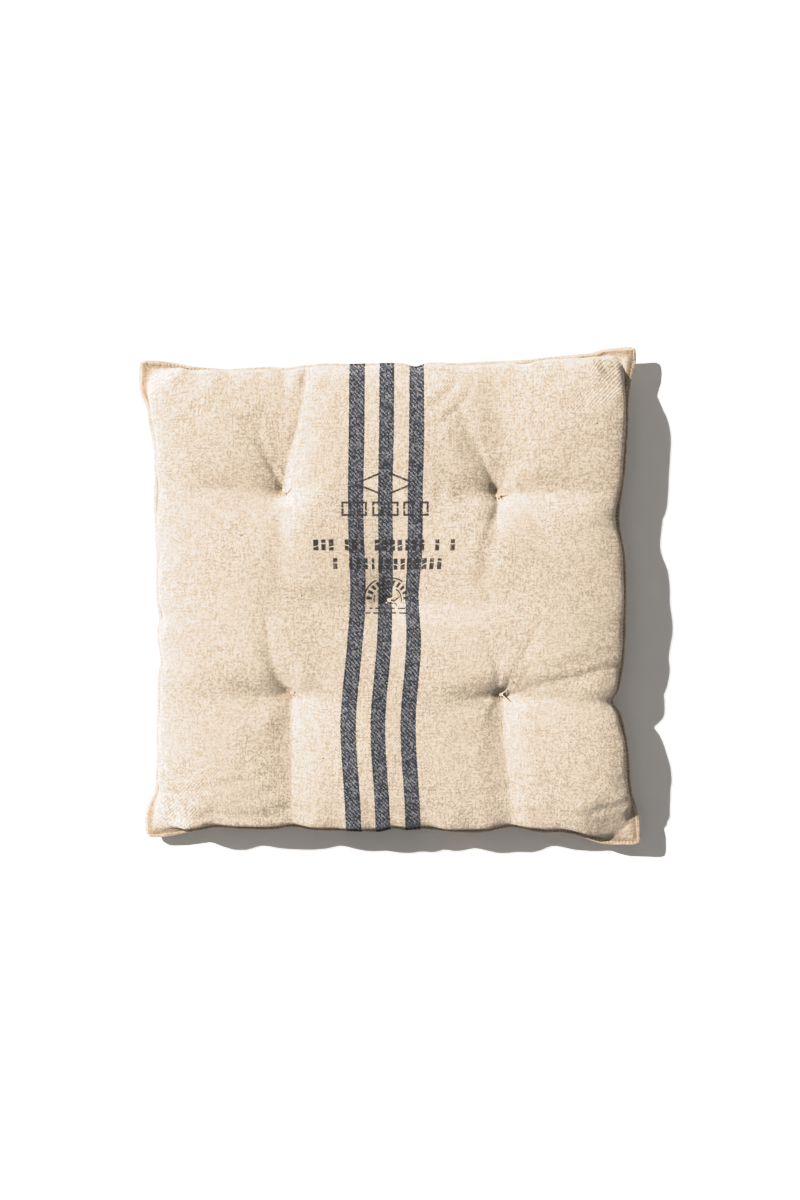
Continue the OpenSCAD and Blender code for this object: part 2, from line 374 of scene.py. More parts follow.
# creases of the upper face: path in cut coordinates, depth, width, strength at start and end
MID, BL, BR, FL, FR = (cut for cut, _ in TIES.values())
TOP_CREASES = [
    ([BL, (-114, 134), (-124, 172)], 3.2, 9, 0.9, 0.3),
    ([BL, (-92, 136), (-80, 180), (-78, 206)], 2.8, 8, 0.9, 0.7),
    ([BL, (-100, 60), (-101, 5)], 2.2, 8, 1, 0.2),
    ([BL, (-60, 104), (-36, 106)], 1.6, 7, 1, 0.1),
    ([BL, (-160, 104), (-222, 105)], 1.8, 8, 0.8, 0.7),
    ([BR, (86, 122), (72, 146), (62, 176)], 3.6, 7, 1, 0.3),
    ([BR, (96, 60), (88, 30), (84, 8)], 3.2, 6, 1, 0.2),
    ([BR, (118, 130), (134, 160)], 2.2, 9, 0.9, 0.2),
    ([BR, (60, 100), (36, 98)], 1.6, 7, 1, 0.2),
    ([BR, (160, 98), (224, 96)], 2, 8, 0.8, 0.9),
    ([FL, (-104, -68), (-112, -36), (-112, 10)], 3.4, 7, 1, 0.1),
    ([FL, (-92, -140), (-92, -208)], 2.2, 9, 0.9, 0.8),
    ([FL, (-150, -90), (-220, -86)], 1.6, 8, 0.9, 0.6),
    ([FR, (99, -66), (98, -48)], 1.6, 4, 0.6, 0.3),
    ([FR, (118, -64), (132, -30), (138, 0)], 2, 9, 0.7, 0.1),
    ([FR, (150, -76), (196, -62), (220, -66)], 2.8, 7, 0.8, 0.9),
    ([FR, (160, -92), (224, -98)], 3, 9, 0.7, 1),
    ([FR, (104, -140), (112, -210)], 2.6, 8, 1, 0.7),
    ([FR, (60, -90), (36, -92)], 1.4, 7, 0.6, 0.2),
    ([MID, (-18, -16), (-34, -44)], 1.2, 7, 1, 0.1),
    ([BL, (-108, 122), (-117, 142), (-124, 160)], 1.3, 2.4, 1, 0.3),
    ([BL, (-97, 130), (-88, 152), (-82, 176)], 1.2, 2.4, 0.9, 0.5),
    ([BR, (92, 118), (80, 140), (70, 158)], 1.6, 2.2, 1, 0.3),
    ([BR, (97, 78), (87, 54), (83, 20)], 1.6, 2.2, 1, 0.2),
    ([FL, (-104, -78), (-112, -56), (-113, -26)], 1.5, 2.2, 1, 0.2),
    ([FR, (108, -72), (121, -50), (131, -28)], 1.2, 2.2, 0.8, 0.2),
    ([FR, (98, -72), (93, -52)], 1, 2, 0.8, 0.3),
    ([(-214, -186), (-184, -178), (-146, -170), (-106, -162)], 1.5, 2.2, 0.9, 0.5),
    ([(-205, -200), (-150, -197), (-100, -200)], 2.2, 3, 0.9, 0.8),
    ([(-120, -192), (-90, -194), (-56, -192)], 2, 3, 0.9, 0.6),
    ([(-30, -190), (6, -193), (44, -190)], 2, 3, 0.7, 0.7),
    ([(30, -176), (70, -179), (110, -176)], 1.4, 3, 0.5, 0.6),
    ([(104, -196), (165, -193), (197, -190), (216, -184)], 2, 2.2, 0.3, 1),
    ([(118, -64), (150, -62), (186, -52)], 1.5, 3, 0.8, 0.6),
    ([(124, -76), (166, -72), (204, -74)], 1.3, 3, 0.5, 0.8),
    ([(60, 196), (52, 180), (34, 170)], 1.6, 3, 0.7, 0.6),
    ([(72, 186), (60, 170), (44, 160)], 1.6, 3, 0.7, 0.6),
    ([(211, 219), (215, 208), (222, 197), (230, 190)], 4.5, 3, 0.8, 1),
    ([(188, 224), (192, 212), (199, 198)], 4, 3.4, 1, 0.3),
    ([(156, 222), (160, 210), (168, 200)], 1.8, 3.4, 1, 0.3),
    ([(-186, 218), (-176, 196), (-172, 180)], 2, 6, 0.9, 0.2),
    ([(-219, -205), (-210, -211), (-190, -211), (-168, -211)], 3, 2.4, 0.8, 0.7),
    ([(214, -214), (196, -198), (182, -186)], 2.4, 6, 0.9, 0.2),
    ([(-100, 222), (-98, 204), (-95, 190)], 3, 5, 1, 0.3),
    ([(-78, 220), (-78, 200), (-80, 180)], 2.4, 4, 1, 0.5),
    ([(150, -58), (180, -48), (210, -46)], 1.4, 4, 0.2, 0.9),
]

# each side's axis and direction
SIDES = {"left": (0, -1), "right": (0, 1), "back": (1, 1), "front": (1, -1)}

# pulls of the seam line towards the middle: place along the side, depth and half width
EDGE_PULLS = {
    "left": ((0, 2.4, 100), (196, -4, 26), (140, 1.2, 14), (42, 1.2, 12), (-58, 2.6, 12), (-18, 2.4, 9),
             (-204, -4, 20), (-152, 1, 14), (96, -2, 18), (-75, 1.8, 60), (102, 2.4, 24),
             (205, -3, 14), (-214, -2.5, 12), (186, 1.6, 10), (-182, 2.6, 12)),
    "right": ((74, 4.5, 26), (-97, 7, 26), (-95, 6, 8), (-205, -4, 18), (-50, 2, 80),
             (150, -1.5, 30), (-60, -1, 14), (-65, 2.6, 22), (88, 2.6, 44), (214, -2, 12)),
    "back": ((165, -3.4, 40), (-200, -2.2, 18), (-96, 1.6, 10), (22, 3.4, 8), (-150, 1.2, 12),
             (65, 1, 14), (-60, -1.2, 14), (206, -3.2, 14), (-212, -1.2, 12)),
    "front": ((0, 3, 120), (-92, 3, 14), (2, 3, 9), (112, 5.5, 18), (-160, 2, 16), (158, 2, 16),
             (200, -6, 20), (30, 3, 20), (-208, -2.5, 16)),
}

# how far each corner stands from where even cloth would put it
CORNER_PULLS = {(-1, 1): (-3.4, -9.6), (1, 1): (-3.5, 4.5), (1, -1): (1, 3.6), (-1, -1): (3, 9)}


def shape_edges(surface):
    """Uneven pulls of the seam, alike in both panels."""
    for name, (axis, side) in SIDES.items():
        along, across = (U, V) if axis else (V, U)
        for at, depth, width in EDGE_PULLS[name]:
            amount = depth * bell(along, at, width) * bell(CUT - abs(across), 0, 14 + 0.9 * min(width, 40))
            amount = amount * (across * side > 0) * (1 - (abs(along) / CUT) ** 12)
            surface[..., axis] -= amount * side
    corner = (abs(U) * abs(V) / CUT ** 2) ** 1.15
    for (x, y), (dx, dy) in CORNER_PULLS.items():
        here = corner * (U * x > 0) * (V * y > 0)
        surface[..., :2] += here[..., None] * (dx, dy)
    blunt = 1.5 * np.exp(-(2 * CUT - abs(U) - abs(V)) / 4)
    surface[..., :2] -= blunt[..., None] * np.sign(np.stack([U, V], -1))


def flatten_ears(top, under):
    """Corners past the wadding: the two panels lie together, and the front left one droops."""
    reach = 2 * CUT - abs(U) - abs(V)
    flat, full = 24, np.where(U > 0, np.where(V < 0, 108, 76), np.where(V < 0, 78, 66))
    keep = 0.18 + 0.82 * soft_step(reach, flat, full)
    middle = (top[..., 2] + under[..., 2]) / 2
    for surface in (top, under):
        surface[..., 2] = middle + (surface[..., 2] - middle) * keep
        surface[..., 2] -= DROOP * bell(reach, 0, 70) * (U < 0) * (V < 0)


def plump_sides(surface, seed, amount):
    """Walls that swell out towards the flange, with a dent at each pull of the seam."""
    rng = np.random.default_rng(seed)
    inset = np.clip(FROM_EDGE - RIM, 0, None)
    away = 1 - corner_share()
    reach = soft_step(inset, 0, 21) * bell(np.clip(inset - 21, 0, None), 0, 40) * away ** 1.5
    lift, shoulder = bell(inset, 26, 14) * away, bell(inset, 20, 7) * away
    for axis, along, across, names in ((0, V, U, ("left", "right")), (1, U, V, ("back", "front"))):
        side = np.sign(across)
        mine = soft_step(abs(across) - abs(along), -18, 18)
        swell = 1 + 0.05 * ripple(along, rng, 30, 110, 5, side)
        for name in names:
            for at, depth, width in EDGE_PULLS[name]:
                if 1 < depth and width < 30:
                    here = side == SIDES[name][1]
                    swell -= 0.09 * min(depth, 4) * here * bell(along, at, 0.8 * width)
        surface[..., axis] += amount * np.clip(swell, -0.4, 1.5) * reach * mine * side
        surface[..., 2] += 0.18 * amount * np.clip(swell, -0.4, 1.5) * lift * mine
        surface[..., axis] += 0.36 * amount * np.clip(swell, 0, 1.3) * shoulder * mine * side


def tuck_in(surface, seed):
    """Keeps the walls of a panel from hanging over its flange."""
    rng = np.random.default_rng(seed)
    seam = EDGE_LINES.index(RIM)
    for axis, along, across in ((0, V, U), (1, U, V)):
        over = -0.1 + 0.35 * ripple(along, rng, 40, 110, 3)
        for side, at in ((-1, seam), (1, -1 - seam)):
            line = np.take(surface[..., axis], [at], axis=axis)
            mine = (across * side > 0) * (FROM_EDGE > RIM) * soft_step(abs(across) - abs(along), -6, 6)
            beyond = (surface[..., axis] - line) * side - over
            excess = 0.5 * (beyond + np.sqrt(beyond ** 2 + 0.5)) * soft_step(FROM_EDGE, RIM, RIM + 5)
            surface[..., axis] -= excess * mine * side


def pucker(seed):
    """Small gathers along the edge stitching, as a height."""
    rng = np.random.default_rng(seed)
    total = np.zeros(U.shape)
    for along, across in ((U, V), (V, U)):
        gathers = ripple(along, rng, 9, 26, 6, 0.6 * np.sign(across)) / 2.4
        gap = CUT - abs(across)
        total += gathers * np.exp(-np.clip(gap - RIM, 0, None) / 8) * soft_step(gap, 2.5, 6)
    return total * (1 - np.clip(corner_share() * 1.2, 0, 1))


def corner_share():
    """0 along the sides, rising to 1 at the corners."""
    return np.clip((np.minimum(abs(U), abs(V)) - 190) / (CUT - 190), 0, 1)


def unit(field):
    return field / (np.linalg.norm(field, axis=-1, keepdims=True) + 1e-9)


def normals(surface):
    return unit(np.cross(np.gradient(surface, axis=0), np.gradient(surface, axis=1)))


def make_surfaces():
    """Outer and inner faces of both panels on the fine grid, with the directions out of the cloth."""
    grid, p = simulate()
    weights = spline_weights(grid.line, FINE)
    top, under = (np.einsum("ai,ijc,bj->abc", weights, p[k], weights, optimize=True) for k in (0, 1))
    body = soft_step(FROM_EDGE, RIM, RIM + 6)
    for fold in TOP_CREASES:
        top[..., 2] += crease(*fold) * body
    top[..., 2] += tie_wrinkles(SEED + 8) * body
    rng = np.random.default_rng(SEED + 4)
    top[..., 2] += (0.16 * waves(U, V, rng, 14, 34, 16) + 0.6 * pucker(5)) * body
    lifted = soft_step(under[..., 2], 1.5, 8)
    under[..., 2] += (0.16 * waves(U, V, rng, 14, 34, 16) + 0.9 * pucker(9)) * body * lifted
    flatten_ears(top, under)
    wave = 0.7 * waves(U, V, rng, 50, 110, 10) * (1 - soft_step(FROM_EDGE, 4, 26))
    # the flange hangs outward a little, most on the left
    wave = wave - np.clip(RIM + 1 - FROM_EDGE, 0, None) * np.where(U < -abs(V), 0.65, 0.25)
    for surface in (top, under):
        shape_edges(surface)
        surface[..., 2] += wave
    plump_sides(top, SEED + 5, TOP_SWELL)
    plump_sides(under, SEED + 6, UNDER_SWELL)
    tuck_in(top, SEED + 7)
    under[..., 2] = np.maximum(under[..., 2], CLOTH + FLOOR_GAP)
    ply = np.interp(FROM_EDGE, [0, 0.4, 1, 2.8, 4, 6.6], [0.45, 1, FLANGE_PLY, FLANGE_PLY, 1.05, CLOTH])
    roll = np.interp(FROM_EDGE, [0, 0.4, 1.0], [0.35, 0.12, 0.02])
    up, down = normals(top), -normals(under)
    return {
        "top": top + up * ply[..., None], "top_in": top + up * roll[..., None],
        "under": under + down * ply[..., None], "under_in": under + down * roll[..., None],
        "up": up, "down": down,
    }


# ---- mesh building

def finish_mesh(name, points, faces, coords=None):
    """Object from points in millimetres, with smooth faces and one UV layer of corner values."""
    data = bpy.data.meshes.new(name)
    data.from_pydata((np.asarray(points) * MM).tolist(), [], faces)
    data.polygons.foreach_set("use_smooth", [True] * len(data.polygons))
    if coords is not None:
        layer = data.uv_layers.new(name="Cut")
        layer.data.foreach_set("uv", np.asarray(coords, dtype=np.float32).ravel())
    data.validate()
    data.update()
    return new_object(name, data)


def closed_sheet(name, outer, inner, up, cut_u, cut_v):
    """Closed solid between two fields over the same cut grid."""
    n, m = outer.shape[:2]
    index = np.arange(n * m).reshape(n, m)
    a, b, c, d = index[:-1, :-1], index[1:, :-1], index[1:, 1:], index[:-1, 1:]
    quads = np.stack([a, b, c, d], -1).reshape(-1, 4)
    ring = np.concatenate([index[:-1, 0], index[-1, :-1], index[:0:-1, -1], index[0, :0:-1]])
    nxt = np.roll(ring, -1)
    wall = np.stack([ring, ring + n * m, nxt + n * m, nxt], -1)
    faces = np.concatenate([quads, quads[:, ::-1] + n * m, wall])
    if not up:
        faces = faces[:, ::-1]
    points = np.concatenate([outer.reshape(-1, 3), inner.reshape(-1, 3)])
    where = np.stack([cut_u.ravel(), cut_v.ravel()], -1) / (2 * CUT) + 0.5
    where = np.concatenate([where, where])
    return finish_mesh(name, points, faces.tolist(), where[faces].reshape(-1, 2))


class Tubes:
    """Round threads gathered into one mesh. Corner values: turn round the thread, length / 10 mm."""

    def __init__(self):
        self.points, self.faces, self.coords, self.count = [], [], [], 0

    def add(self, path, radius, sides=6, closed=False):
        path = np.asarray(path, float)
        n = len(path)
        radius = np.broadcast_to(radius, (n,))
        ahead = np.roll(path, -1, 0) - np.roll(path, 1, 0)
        if not closed:
            ahead[0], ahead[-1] = path[1] - path[0], path[-1] - path[-2]
        ahead = unit(ahead)
        side = np.zeros_like(path)
        first = np.cross(ahead[0], (0.13, 0.21, 1.0))
        side[0] = first / np.linalg.norm(first)
        for k in range(1, n):
            s = side[k - 1] - ahead[k] * np.dot(side[k - 1], ahead[k])
            side[k] = s / (np.linalg.norm(s) + 1e-9)
        other = np.cross(ahead, side)
        turn = 2 * np.pi * np.arange(sides) / sides
        across, up = np.cos(turn)[None, :, None], np.sin(turn)[None, :, None]
        ring = path[:, None] + radius[:, None, None] * (side[:, None] * across + other[:, None] * up)
        passed = np.concatenate([[0], np.cumsum(np.linalg.norm(np.diff(path, axis=0), axis=1))]) / 10
        base = self.count
        self.points.append(ring.reshape(-1, 3))
        self.count += n * sides
        for k in range(n if closed else n - 1):
            k2 = (k + 1) % n
            v0, v1 = passed[k], passed[k2] if k2 else passed[k] + 0.1
            here, there = base + k * sides, base + k2 * sides
            for s in range(sides):
                s2 = (s + 1) % sides
                self.faces.append((here + s, here + s2, there + s2, there + s))
                u0, u1 = s / sides, (s + 1) / sides
                self.coords += [(u0, v0), (u1, v0), (u1, v1), (u0, v1)]
        if closed:
            return
        dome = 0.6 * radius[:, None] * ahead
        self.points.append(np.stack([path[0] - dome[0], path[-1] + dome[-1]]))
        start, end = self.count, self.count + 1
        self.count += 2
        last = base + (n - 1) * sides
        for s in range(sides):
            s2 = (s + 1) % sides
            self.faces.append((base + s2, base + s, start))
            self.faces.append((last + s, last + s2, end))
            self.coords += [(s / sides, passed[0])] * 3 + [(s / sides, passed[-1])] * 3

    def build(self, name):
        return finish_mesh(name, np.concatenate(self.points), self.faces, self.coords)


def sample(field, u, v):
    """Value of a field at cut coordinates."""
    u, v = np.asarray(u, float), np.asarray(v, float)
    i = np.clip(np.searchsorted(FINE, u) - 1, 0, len(FINE) - 2)
    j = np.clip(np.searchsorted(FINE, v) - 1, 0, len(FINE) - 2)
    s = ((u - FINE[i]) / (FINE[i + 1] - FINE[i]))[..., None]
    t = ((v - FINE[j]) / (FINE[j + 1] - FINE[j]))[..., None]
    return ((field[i, j] * (1 - s) + field[i + 1, j] * s) * (1 - t)
            + (field[i, j + 1] * (1 - s) + field[i + 1, j + 1] * s) * t)


def round_edge(inset, spacing):
    """Cut coordinates at even steps along a square run inside the outer edge."""
    half = CUT - inset
    count = int(round(2 * half / spacing))
    s = np.linspace(-half, half, count, endpoint=False)
    fixed = np.full(count, half)
    return (np.concatenate([fixed, -s, -fixed, s]), np.concatenate([s, fixed, -s, -fixed]))


def edge_stitching(name, skin, normal, seed):
    """Lockstitch along the flange: short bridges of thread that dip into the cloth."""
    rng = np.random.default_rng(seed)
    pitch, inset = 3.2, 3.1
    u, v = round_edge(inset, pitch)
    tubes = Tubes()
    for k in range(len(u)):
        k2 = (k + 1) % len(u)
        t = np.linspace(0.07, 0.93, 6)
        drift = rng.normal(0, 0.07, 2)
        a = u[k] + (u[k2] - u[k]) * t + drift[0]
        b = v[k] + (v[k2] - v[k]) * t + drift[1]
        height = 0.34 * np.sin(np.pi * (t - 0.07) / 0.86) ** 0.5 - 0.16
        path = sample(skin, a, b) + sample(normal, a, b) * height[:, None]
        tubes.add(path, 0.30 * (0.85 + 0.15 * np.sin(np.pi * t)))
    return tubes.build(name)


def seam_in_groove(name, skins):
    """The seam that joins the panels, seen only in the groove between their rolled edges."""
    u, v = round_edge(0.15, 1.3)
    middle = (sample(skins["top_in"], u, v) + sample(skins["under_in"], u, v)) / 2
    middle[:, 2] += 0.06 * np.sin(np.arange(len(u)) * np.pi)
    tubes = Tubes()
    tubes.add(middle, 0.2 + 0.04 * np.cos(np.arange(len(u)) * np.pi), closed=True)
    return tubes.build(name)


def hand_tacks(name, skins):
    """Two clusters of wraps over the flange near the right end of the back edge."""
    rng = np.random.default_rng(SEED + 2)
    tubes = Tubes()
    for start in TACKS:
        for k in range(4):
            u0 = start + 1.05 * k + rng.normal(0, 0.12)
            lean = rng.normal(0.3, 0.35)
            inset = np.array(TACK_INSETS)
            side = u0 + lean * (inset / TACK_INSETS[0] - 0.5)
            lift = np.array([-0.25, 0.26, 0.34, 0.34, 0.42])[:, None]
            above, below = (
                sample(skins[skin], u, CUT - inset) + sample(skins[out], u, CUT - inset) * lift
                for skin, out, u in (("top", "up", side), ("under", "down", 2 * u0 - side)))
            tip = sample((skins["top"] + skins["under"]) / 2, [u0], [CUT]) + [[0, 0.5, 0]]
            tubes.add(np.concatenate([above, tip, below[::-1]]), 0.33)
        end = sample(skins["top"], [start + 2.0], [CUT - 3.0])[0]
        tail = [end + (0, 0, 0.5), end + (1.2, 1.0, 1.0), end + (2.6, 1.2, 0.9), end + (3.6, 0.4, 0.75)]
        tubes.add(smooth_path(tail, 10), 0.3)
    return tubes.build(name)


def smooth_path(points, count):
    """Catmull-Rom curve through the points."""
    p = np.array([points[0]] + list(points) + [points[-1]], float)
    out = []
    for t in np.linspace(0, len(points) - 1, count):
        k = min(int(t), len(points) - 2)
        s = t - k
        a, b, c, d = p[k:k + 4]
        out.append(0.5 * (2 * b + (c - a) * s + (2 * a - 5 * b + 4 * c - d) * s ** 2
                          + (3 * b - a - 3 * c + d) * s ** 3))
    return np.array(out)


def tie(name, cut, skins, seed):
    """Doubled cord: a bar underneath, two strands through the filling, a knot and two cut ends."""
    rng = np.random.default_rng(seed)
    top = sample(skins["top"], [cut[0]], [cut[1]])[0]
    under = sample(skins["under"], [cut[0]], [cut[1]])[0]
    x, y = top[:2]

    def cloth(px, py):
        """Height of the upper face at a place near the tie."""
        return sample(skins["top"], [cut[0] + px - x], [cut[1] + py - y])[0, 2]

    clear = max(cloth(x + dx, y + dy) for dx in (-1.4, 0, 1.4) for dy in (-1.4, 0, 1.4))
    low, high, gap = under[2] - 0.35, clear + 0.9, 1.6
    tubes = Tubes()
    # share of the way down to the lower face, distance from the middle, height
    steps = ((0, 0.5, high), (0, gap, high - 1.4), (0.5, gap, (low + high) / 2),
             (1, gap, low + 1.2), (1, 0.7 * gap, low - 0.2), (1, 0, low - 0.3))
    loop = [(x + down * (under[0] - x), y + down * (under[1] - y) + side * off, z)
            for side, part in ((1, steps), (-1, steps[-2::-1])) for down, off, z in part]
    tubes.add(smooth_path(loop, 60), CORD_RADIUS, sides=8)
    turns = np.linspace(0, 2 * np.pi, 60, endpoint=False)
    spin = rng.uniform(0, 2 * np.pi)
    ring = 1.0 + 0.5 * np.cos(3 * turns + spin)
    knot = np.stack([x + ring * np.cos(2 * turns), y + ring * np.sin(2 * turns),
                     high + 0.6 + 0.5 * np.sin(3 * turns + spin)], -1)
    tubes.add(knot, 0.46, sides=8, closed=True)
    for sign in (1, -1):
        spread = math.radians(sign * rng.uniform(24, 40) + rng.uniform(-6, 6))
        reach = rng.uniform(5.2, 6.8)
        ahead = np.array([math.cos(spread), math.sin(spread), 0.0])
        aside = np.array([-ahead[1], ahead[0], 0.0])
        start = np.array([x + 0.6, y + sign * 0.4, high + 0.9])
        points = [start, start + ahead * 0.35 * reach + (0, 0, 0.9),
                  start + ahead * 0.7 * reach + aside * rng.uniform(-0.5, 0.5) + (0, 0, 1.5),
                  start + ahead * reach + aside * rng.uniform(-0.8, 0.8) + (0, 0, 1.7)]
        path = smooth_path(points, 16)
        # the end lies on the cloth, where the dimple rises beside the knot
        path[:, 2] = np.maximum(path[:, 2], [cloth(px, py) + 0.9 for px, py, _ in path])
        tubes.add(path, np.linspace(0.52, 0.46, 16), sides=8)
        for _ in range(6):
            out = ahead * rng.uniform(0.9, 1.7) + aside * rng.normal(0, 0.55) + (0, 0, rng.normal(0.1, 0.35))
            root = path[-2] + rng.normal(0, 0.16, 3)
            tubes.add(smooth_path([root, root + out * 0.6, root + out + rng.normal(0, 0.15, 3)], 5),
                      [0.17, 0.15, 0.13, 0.1, 0.06], sides=5)
    return tubes.build(name)


def wadding(name, skins, low_share, high_share, seed):
    """Fleece sheet between two shares of the height inside the cover."""
    keep = np.flatnonzero(abs(FINE) <= CUT - 9.5)[::2]
    pick = np.ix_(keep, keep)
    floor, roof = skins["under_in"][pick], skins["top_in"][pick]
    rng = np.random.default_rng(seed)
    room = np.clip((roof - floor)[..., 2:3], 0, 60) / 60
    gap = np.array([0, 0, 0.25])

    def level(share, side):
        fuzz = 0.25 * waves(U[pick], V[pick], rng, 8, 30, 12)[..., None] * room * np.array([0, 0, 1.0])
        return floor + (roof - floor) * share + side * gap + (fuzz if 0 < share < 1 else 0)

    high, low = level(high_share, -1), level(low_share, 1)
    high[..., 2] = np.maximum(high[..., 2], low[..., 2] + 0.4)
    return closed_sheet(name, high, low, True, U[pick], V[pick])


# ---- materials

class Nodes:
    """Short hand for building a node tree from maths on sockets and numbers."""

    def __init__(self, name):
        self.mat = bpy.data.materials.new(name)
        self.mat.use_nodes = True
        self.tree = self.mat.node_tree
        self.shader = self.tree.nodes["Principled BSDF"]

    def node(self, kind, inputs=(), **props):
        made = self.tree.nodes.new(kind)
        for key, value in props.items():
            setattr(made, key, value)
        for key, value in dict(inputs).items():
            self.put(made.inputs[key], value)
        return made

    def put(self, socket, value):
        if isinstance(value, bpy.types.NodeSocket):
            self.tree.links.new(value, socket)
        else:
            socket.default_value = value

    def do(self, what, *values, clamp=False):
        made = self.node("ShaderNodeMath", operation=what, use_clamp=clamp)
        for socket, value in zip(made.inputs, values):
            self.put(socket, value)
        return made.outputs[0]

    def add(self, a, b):
        return self.do("ADD", a, b)

    def sub(self, a, b):
        return self.do("SUBTRACT", a, b)

    def mul(self, a, b):
        return self.do("MULTIPLY", a, b)

    def total(self, *values):
        out = values[0]
        for value in values[1:]:
            out = self.add(out, value)
        return out

    def most(self, a, b):
        return self.do("MAXIMUM", a, b)

    def off(self, value, middle=0):
        """Distance of a value from a middle."""
        return self.do("ABSOLUTE", self.sub(value, middle))

    def chance(self, vector):
        """One random value for each cell."""
        return self.node("ShaderNodeTexWhiteNoise", {"Vector": vector}).outputs["Value"]

    def places(self):
        """The two parts of the UV layer."""
        cut = self.node("ShaderNodeUVMap", uv_map="Cut").outputs[0]
        parts = self.node("ShaderNodeSeparateXYZ", {"Vector": cut}).outputs
        return parts["X"], parts["Y"]

    def wave(self, value, size):
        return self.do("SINE", self.mul(value, 2 * math.pi / size))

    def hill(self, value, at, width):
        """Bell curve of a value."""
        t = self.mul(self.sub(value, at), 1 / width)
        return self.do("POWER", math.e, self.mul(self.mul(t, t), -1))

    def even(self, value, size):
        """A value of 0 to 1 spread over a size, with 0 in the middle."""
        return self.mul(self.sub(value, 0.5), size)

    def band(self, value, middle, half, soft):
        """1 up to half a width from a middle, 0 outside."""
        return self.within(self.sub(self.off(value, middle), half), soft)

    def within(self, distance, soft):
        """1 where a distance is below zero, 0 outside, over a soft width."""
        return self.do("SUBTRACT", 0.5, self.mul(distance, 1 / soft), clamp=True)

    def vec(self, x, y, z=0):
        return self.node("ShaderNodeCombineXYZ", {"X": x, "Y": y, "Z": z}).outputs[0]

    def noise(self, vector, scale, detail=2, rough=0.5, bend=0):
        return self.node("ShaderNodeTexNoise", {"Vector": vector, "Scale": scale, "Detail": detail,
                                                "Roughness": rough, "Distortion": bend}).outputs["Fac"]

    def spots(self, vector, scale):
        """Distance to the nearest of scattered points, and three random values of that point."""
        cells = self.node("ShaderNodeTexVoronoi", {"Vector": vector, "Scale": scale}).outputs
        return cells["Distance"], self.node("ShaderNodeSeparateColor", {"Color": cells["Color"]}).outputs

    def ramp(self, value, low, high, to_low=0, to_high=1):
        return self.node("ShaderNodeMapRange", {"Value": value, "From Min": low, "From Max": high,
                                                "To Min": to_low, "To Max": to_high}).outputs[0]

    def mix(self, share, a, b, blend="MIX"):
        made = self.node("ShaderNodeMix", data_type="RGBA", blend_type=blend)
        for place, value in ((0, share), (6, a), (7, b)):
            self.put(made.inputs[place], value)
        return made.outputs[2]

    def shade(self, colour, share, factor):
        """Colour multiplied towards a factor."""
        return self.mix(share, colour, factor, "MULTIPLY")

    def finish(self, colour, rough, height, depth, sheen):
        inputs = self.shader.inputs
        self.put(inputs["Base Color"], colour)
        self.put(inputs["Roughness"], rough)
        inputs["Diffuse Roughness"].default_value = 1.0
        inputs["Specular IOR Level"].default_value = 0.18
        inputs["Sheen Weight"].default_value = sheen
        inputs["Sheen Roughness"].default_value = 0.55
        bump = self.node("ShaderNodeBump", {"Height": height, "Distance": depth})
        self.tree.links.new(bump.outputs[0], inputs["Normal"])
        return self.mat


CREAM = (0.625, 0.53, 0.43, 1)
CREAM_PALE = (0.765, 0.668, 0.552, 1)
CREAM_DARK = (0.415, 0.335, 0.26, 1)
NAVY = (0.009, 0.011, 0.021, 1)
NAVY_SOFT = (0.045, 0.050, 0.074, 1)
INK = (0.035, 0.032, 0.032, 1)
SEED_BROWN = (0.16, 0.09, 0.045, 1)
THREAD = (0.78, 0.70, 0.55, 1)
CORD = (0.84, 0.78, 0.66, 1)
FLEECE = (0.82, 0.77, 0.67, 1)
STRIPES = ((-29.5, 7.1), (-2.5, 6.7), (25, 6.9))


